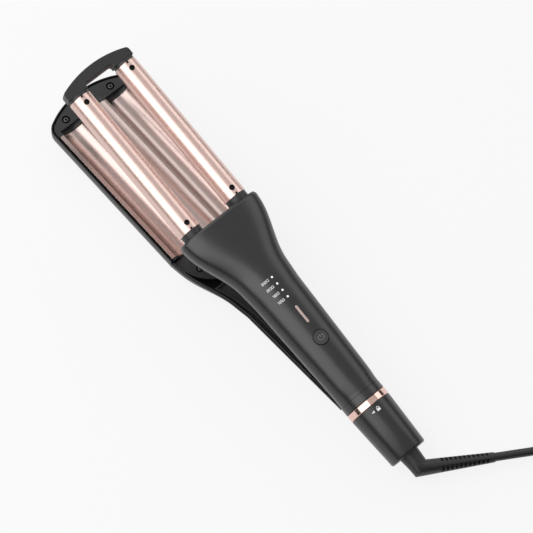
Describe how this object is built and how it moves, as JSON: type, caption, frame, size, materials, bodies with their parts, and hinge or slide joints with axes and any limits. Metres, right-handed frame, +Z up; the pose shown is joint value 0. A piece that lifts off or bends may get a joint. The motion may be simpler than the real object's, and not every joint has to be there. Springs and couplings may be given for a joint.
{
  "type": "hair waver",
  "caption": "Hair waver lying open on a table: heated barrels on a flared handle close onto a wave-shaped plate on the sprung lower arm, with a twist lock and a swivel cord.",
  "frame": {"origin": "on the table, below the middle of the waver's length without its cord, on its middle plane", "axes": "+X towards the tip along the table, +Y towards the waver's left side seen from the tail, +Z up from the table; the handle's own axis points 9.6 degrees above +X"},
  "size_m": [0.5474, 0.1529, 0.083],
  "materials": {
    "satin_black": "satin",
    "matt_black": "matt",
    "deep_black": "matt",
    "soft_black": "matt",
    "rose_gold": "polished",
    "rose_lens": "satin",
    "bare_steel": "satin",
    "black_steel": "satin",
    "heat_bar": "satin",
    "bare_brass": "satin",
    "board_green": "satin",
    "ceramic_white": "matt",
    "lamp_white": "gloss"
  },
  "bodies": {
    "handle": {"upper_shell": "satin_black", "upper_inner_cover": "matt_black", "hinge_housing": "satin_black", "trim_ring": "rose_gold", "barrel_holder": "matt_black", "barrel_left": "rose_gold", "barrel_right": "rose_gold", "barrel_collars": "matt_black", "tip_plugs": "matt_black", "tip_bridge": "matt_black", "barrel_screws": "black_steel", "heater_clamps": "heat_bar", "barrel_heaters": "ceramic_white", "barrel_wires": "lamp_white", "control_board": "board_green", "board_components": "deep_black", "tact_switch": "bare_steel", "indicator_leds": "lamp_white", "light_pipes": "lamp_white", "indicator_bar": "rose_lens", "shell_screws": "bare_steel", "hinge_pin": "bare_steel", "hinge_spring": "bare_steel", "detent_ball": "bare_steel", "contact_brushes": "bare_brass"},
    "lower_arm": {"lower_shell": "satin_black", "lower_inner_cover": "deep_black", "arm_bracket": "bare_steel", "plate_frame": "satin_black", "wave_plate": "rose_gold", "front_insulator": "matt_black", "rear_insulator": "matt_black", "insulator_screws": "black_steel", "plate_heaters": "ceramic_white", "heater_press_plate": "bare_steel", "mica_sheet": "ceramic_white", "thermal_fuse": "bare_steel", "plate_wires": "lamp_white", "rest_foot": "soft_black"},
    "lock_collar": {"lock_sleeve": "satin_black"},
    "power_button": {"power_button": "satin_black"},
    "cord_swivel": {"swivel_hub": "matt_black", "slip_rings": "bare_brass", "strain_relief": "soft_black", "cord_lead": "soft_black", "cord_coil": "soft_black", "cord_tie": "soft_black", "plug_body": "deep_black", "plug_pins": "bare_steel"}
  },
  "joints": [
    {"name": "arm_hinge", "type": "hinge", "parent": "handle", "child": "lower_arm", "pos_m": [-0.11606, 0, 0.01596], "axis": [0, -1, 0], "range_deg": [0, 11], "stiffness_Nm_per_rad": 1.2, "springref_deg": -25.78},
    {"name": "lock_twist", "type": "hinge", "parent": "handle", "child": "lock_collar", "pos_m": [-0.15075, 0, 0.01719], "axis": [0.986, 0, 0.1668], "range_deg": [0, 35]},
    {"name": "button_press", "type": "slide", "parent": "handle", "child": "power_button", "axis": [0.1668, 0, -0.986], "range_m": [0, 0.0006], "stiffness_N_per_m": 1500, "springref_m": -0.0005},
    {"name": "cord_turn", "type": "hinge", "parent": "handle", "child": "cord_swivel", "pos_m": [-0.17037, 0, 0.01387], "axis": [0.986, 0, 0.1668], "continuous": true}
  ]
}
